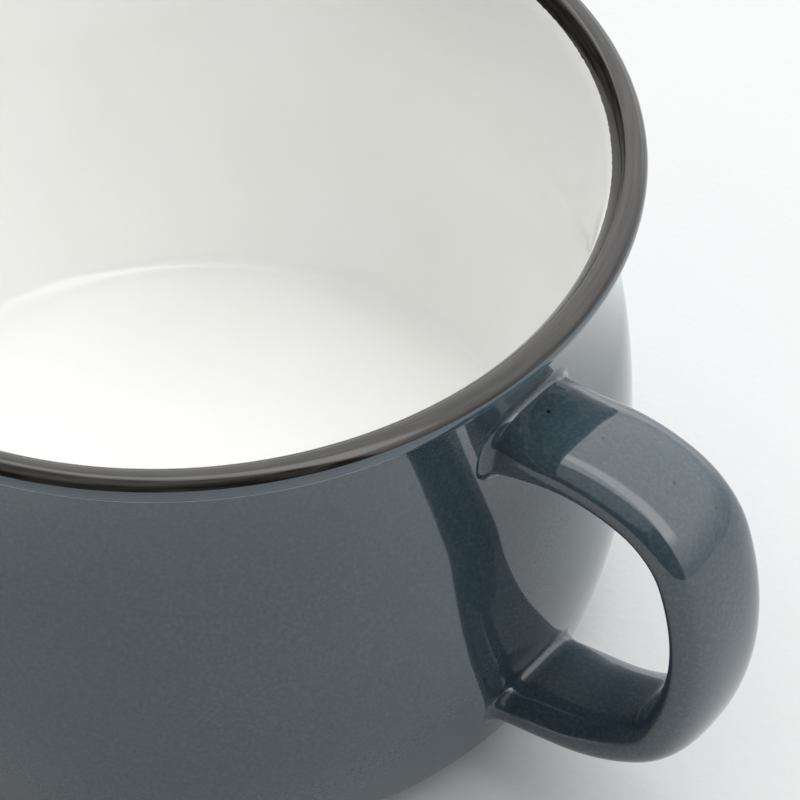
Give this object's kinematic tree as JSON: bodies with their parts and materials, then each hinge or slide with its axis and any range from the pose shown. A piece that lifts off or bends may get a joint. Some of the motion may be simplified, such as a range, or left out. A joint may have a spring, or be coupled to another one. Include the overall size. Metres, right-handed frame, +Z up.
{
  "type": "soup mug",
  "caption": "Wide pot-bellied soup mug in glazed stoneware, with a dark rolled lip, a white liner, a slate-blue outside and a round strap handle.",
  "frame": {"origin": "on the mug's axis, in the plane of the table that the foot ring rests on", "axes": "+Z up along the bowl's axis, +X from the axis through the middle of the handle, +Y completes a right-handed frame"},
  "size_m": [0.1511, 0.1212, 0.079],
  "materials": {
    "stoneware": "bisque-fired clay body, matt",
    "slip": "fired joining slip, matt",
    "liner": "glossy white liner glaze",
    "slate_blue": "glossy slate-blue glaze with a fine speckle",
    "rim_dark": "glossy brown-black rim glaze, brushed on"
  },
  "bodies": {
    "root": {"bowl_body": "stoneware", "liner_glaze": "liner", "outer_glaze": "slate_blue", "rim_glaze": "rim_dark", "base_glaze": "slate_blue", "handle": "stoneware", "upper_slip_joint": "slip", "lower_slip_joint": "slip", "handle_glaze": "slate_blue"}
  },
  "joints": []
}
